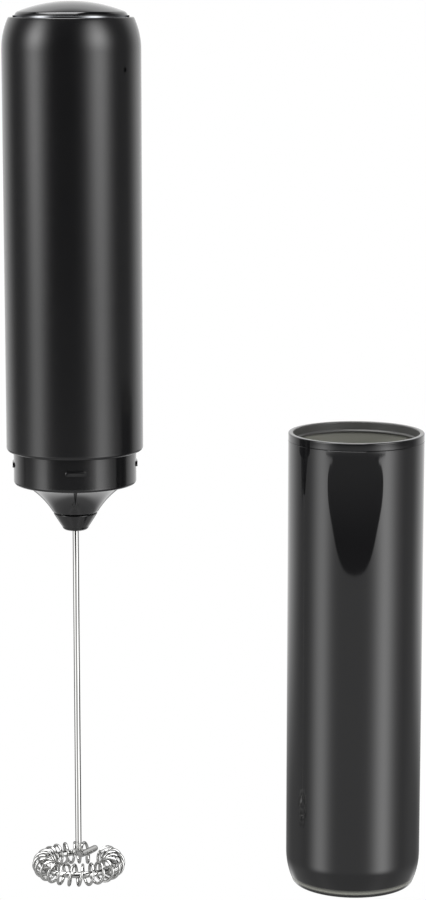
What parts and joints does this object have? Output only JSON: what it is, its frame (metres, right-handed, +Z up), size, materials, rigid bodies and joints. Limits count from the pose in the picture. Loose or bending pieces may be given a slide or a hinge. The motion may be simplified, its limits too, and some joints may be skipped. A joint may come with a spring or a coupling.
{
  "type": "milk frother",
  "caption": "Hand-held rechargeable milk frother with a top push button, a spinning coil-ring whisk on a thin steel stem, and a push-on cup cover standing beside it.",
  "frame": {"origin": "middle of the straight part of the grip, on the handle's axis", "axes": "+Z up along the handle towards the button, whisk below; -Y is the front; +X points to the loose cover; +Y is the back with the charging port"},
  "size_m": [0.1072, 0.035, 0.2287],
  "materials": {
    "shell_black": "semi-gloss black moulded ABS with a fine satin skin",
    "bezel_chrome": "bright plated ring",
    "collar_black": "semi-gloss black moulded ABS",
    "black_rubber": "black silicone rubber",
    "cone_black": "high-gloss black moulded ABS",
    "screw_steel": "zinc-plated steel",
    "board_green": "green solder mask on glass-fibre board",
    "chip_black": "black epoxy packages",
    "led_white": "white light package",
    "clear_pipe": "smoked clear polycarbonate",
    "socket_steel": "nickel-plated pressed steel",
    "switch_black": "black nylon",
    "chassis_grey": "dark grey moulded ABS",
    "cell_sleeve": "blue shrink sleeve over a steel can",
    "nickel": "nickel strip",
    "red_lead": "red PVC insulation",
    "black_lead": "black PVC insulation",
    "motor_steel": "zinc-plated drawn steel",
    "cap_plastic": "natural nylon",
    "bronze": "oil-filled sintered bronze",
    "ferrite": "sintered ferrite",
    "brush_brass": "spring brass strip",
    "button_black": "semi-gloss black moulded ABS with a fine satin skin",
    "shaft_steel": "ground steel",
    "bush_brass": "turned brass",
    "laminations": "stacked silicon steel sheets",
    "copper": "enamelled copper wire and copper segments",
    "hub_black": "gloss black moulded ABS",
    "whisk_steel": "polished stainless steel wire",
    "cover_black": "high-gloss black moulded ABS"
  },
  "bodies": {
    "handle": {"handle_shell": "shell_black", "bezel_ring": "bezel_chrome", "collar": "collar_black", "collar_o_ring": "black_rubber", "nose_cone": "cone_black", "shaft_seal": "black_rubber", "motor_screws": "screw_steel", "circuit_board": "board_green", "board_components": "chip_black", "charge_led": "led_white", "light_pipe": "clear_pipe", "charge_socket": "socket_steel", "tact_switch": "switch_black", "board_screws": "screw_steel", "chassis": "chassis_grey", "battery_cell": "cell_sleeve", "battery_tabs": "nickel", "battery_lead_positive": "red_lead", "battery_lead_negative": "black_lead", "motor_lead_red": "red_lead", "motor_lead_black": "black_lead", "motor_can": "motor_steel", "motor_end_cap": "cap_plastic", "motor_front_bearing": "bronze", "motor_rear_bearing": "bronze", "motor_magnets": "ferrite", "motor_brushes": "brush_brass", "motor_dampers": "black_rubber"},
    "button": {"power_button": "button_black", "switch_plunger": "switch_black"},
    "spindle": {"motor_shaft": "shaft_steel", "drive_bush": "bush_brass", "motor_armature": "laminations", "motor_windings": "copper", "motor_commutator": "copper"},
    "whisk": {"whisk_hub": "hub_black", "whisk_wire": "whisk_steel", "whisk_coil": "whisk_steel"},
    "cover": {"cover_cup": "cover_black"}
  },
  "joints": [
    {"name": "button_press", "type": "slide", "parent": "handle", "child": "button", "axis": [0, 0, -1], "range_m": [0, 0.0008], "stiffness_N_per_m": 2500, "springref_m": -0.0004},
    {"name": "spindle_spin", "type": "hinge", "parent": "handle", "child": "spindle", "pos_m": [0, 0, 0], "axis": [0, 0, -1], "continuous": true},
    {"name": "whisk_release", "type": "slide", "parent": "spindle", "child": "whisk", "axis": [0, 0, -1], "range_m": [0, 0.008]},
    {"name": "cover_lift", "type": "slide", "parent": "handle", "child": "cover", "axis": [0, 0, 1], "range_m": [0, 0.12]}
  ]
}
